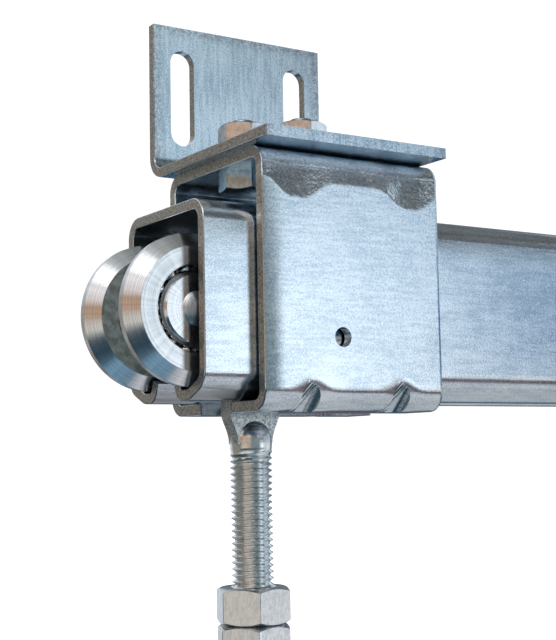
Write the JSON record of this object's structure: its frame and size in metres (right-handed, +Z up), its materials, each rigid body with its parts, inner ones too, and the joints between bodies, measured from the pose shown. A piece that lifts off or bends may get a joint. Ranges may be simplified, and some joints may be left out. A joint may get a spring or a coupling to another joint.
{
  "type": "sliding door track bracket and trolley",
  "caption": "Wall bracket gripping a length of zinc-plated box track, with a wheeled trolley inside that hangs a sliding door from a threaded stud.",
  "frame": {"origin": "on the wall plane, midway between the two screw slots of the wall angle", "axes": "+X along the track away from its open end with the trolley, +Y into the wall, +Z up"},
  "size_m": [0.3191, 0.0663, 0.2024],
  "materials": {
    "zinc_sheet": "bright zinc plated sheet, faint rolling grain",
    "zinc_fastener": "bright zinc plated, cold-formed",
    "zinc_stud": "bright zinc plated, rolled thread",
    "turned_steel": "turned and zinc plated",
    "ground_steel": "ground faces",
    "polished_steel": "polished ball steel"
  },
  "bodies": {
    "track_and_bracket": {"track_rail": "zinc_sheet", "wall_sleeve": "zinc_sheet", "wall_angle": "zinc_sheet", "bracket_bolts": "zinc_fastener", "bracket_nuts": "zinc_fastener", "bracket_washers": "zinc_fastener"},
    "trolley": {"carrier_plate_room": "zinc_sheet", "carrier_plate_wall": "zinc_sheet", "axle_spacers": "turned_steel", "lead_axle": "turned_steel", "trail_axle": "turned_steel", "hanger_pivot_pin": "turned_steel", "race_lead_room": "ground_steel", "race_lead_wall": "ground_steel", "race_trail_room": "ground_steel", "race_trail_wall": "ground_steel"},
    "wheel_lead_room": {"wheel_lead_room": "turned_steel"},
    "balls_lead_room": {"balls_lead_room": "polished_steel"},
    "wheel_lead_wall": {"wheel_lead_wall": "turned_steel"},
    "balls_lead_wall": {"balls_lead_wall": "polished_steel"},
    "wheel_trail_room": {"wheel_trail_room": "turned_steel"},
    "balls_trail_room": {"balls_trail_room": "polished_steel"},
    "wheel_trail_wall": {"wheel_trail_wall": "turned_steel"},
    "balls_trail_wall": {"balls_trail_wall": "polished_steel"},
    "hanger": {"hanger_bolt": "zinc_stud"},
    "upper_nut": {"hanger_nut_upper": "zinc_fastener"},
    "lower_nut": {"hanger_nut_lower": "zinc_fastener"}
  },
  "joints": [
    {"name": "trolley_travel", "type": "slide", "parent": "track_and_bracket", "child": "trolley", "axis": [1, 0, 0], "range_m": [0, 0.246]},
    {"name": "wheel_spin_lead_room", "type": "hinge", "parent": "trolley", "child": "wheel_lead_room", "pos_m": [-0.0417, -0.0447, -0.0706], "axis": [0, 1, 0], "continuous": true},
    {"name": "ball_orbit_lead_room", "type": "hinge", "parent": "trolley", "child": "balls_lead_room", "pos_m": [-0.0417, -0.0447, -0.0706], "axis": [0, 1, 0], "continuous": true},
    {"name": "wheel_spin_lead_wall", "type": "hinge", "parent": "trolley", "child": "wheel_lead_wall", "pos_m": [-0.0417, -0.0211, -0.0706], "axis": [0, 1, 0], "continuous": true},
    {"name": "ball_orbit_lead_wall", "type": "hinge", "parent": "trolley", "child": "balls_lead_wall", "pos_m": [-0.0417, -0.0211, -0.0706], "axis": [0, 1, 0], "continuous": true},
    {"name": "wheel_spin_trail_room", "type": "hinge", "parent": "trolley", "child": "wheel_trail_room", "pos_m": [0.0093, -0.0447, -0.0706], "axis": [0, 1, 0], "continuous": true},
    {"name": "ball_orbit_trail_room", "type": "hinge", "parent": "trolley", "child": "balls_trail_room", "pos_m": [0.0093, -0.0447, -0.0706], "axis": [0, 1, 0], "continuous": true},
    {"name": "wheel_spin_trail_wall", "type": "hinge", "parent": "trolley", "child": "wheel_trail_wall", "pos_m": [0.0093, -0.0211, -0.0706], "axis": [0, 1, 0], "continuous": true},
    {"name": "ball_orbit_trail_wall", "type": "hinge", "parent": "trolley", "child": "balls_trail_wall", "pos_m": [0.0093, -0.0211, -0.0706], "axis": [0, 1, 0], "continuous": true},
    {"name": "hanger_swing", "type": "hinge", "parent": "trolley", "child": "hanger", "pos_m": [-0.0162, -0.0329, -0.0706], "axis": [0, 1, 0], "range_deg": [-8, 8]},
    {"name": "upper_nut_height", "type": "slide", "parent": "hanger", "child": "upper_nut", "axis": [0, 0, 1], "range_m": [0, 0.036]},
    {"name": "lower_nut_height", "type": "slide", "parent": "hanger", "child": "lower_nut", "axis": [0, 0, 1], "range_m": [-0.013, 0]}
  ],
  "couplings": [
    {"joint": "wheel_spin_lead_room", "follows": "trolley_travel", "rad_per_m": 48.544},
    {"joint": "ball_orbit_lead_room", "follows": "trolley_travel", "rad_per_m": 29.678},
    {"joint": "wheel_spin_lead_wall", "follows": "trolley_travel", "rad_per_m": 48.544},
    {"joint": "ball_orbit_lead_wall", "follows": "trolley_travel", "rad_per_m": 29.678},
    {"joint": "wheel_spin_trail_room", "follows": "trolley_travel", "rad_per_m": 48.544},
    {"joint": "ball_orbit_trail_room", "follows": "trolley_travel", "rad_per_m": 29.678},
    {"joint": "wheel_spin_trail_wall", "follows": "trolley_travel", "rad_per_m": 48.544},
    {"joint": "ball_orbit_trail_wall", "follows": "trolley_travel", "rad_per_m": 29.678}
  ]
}
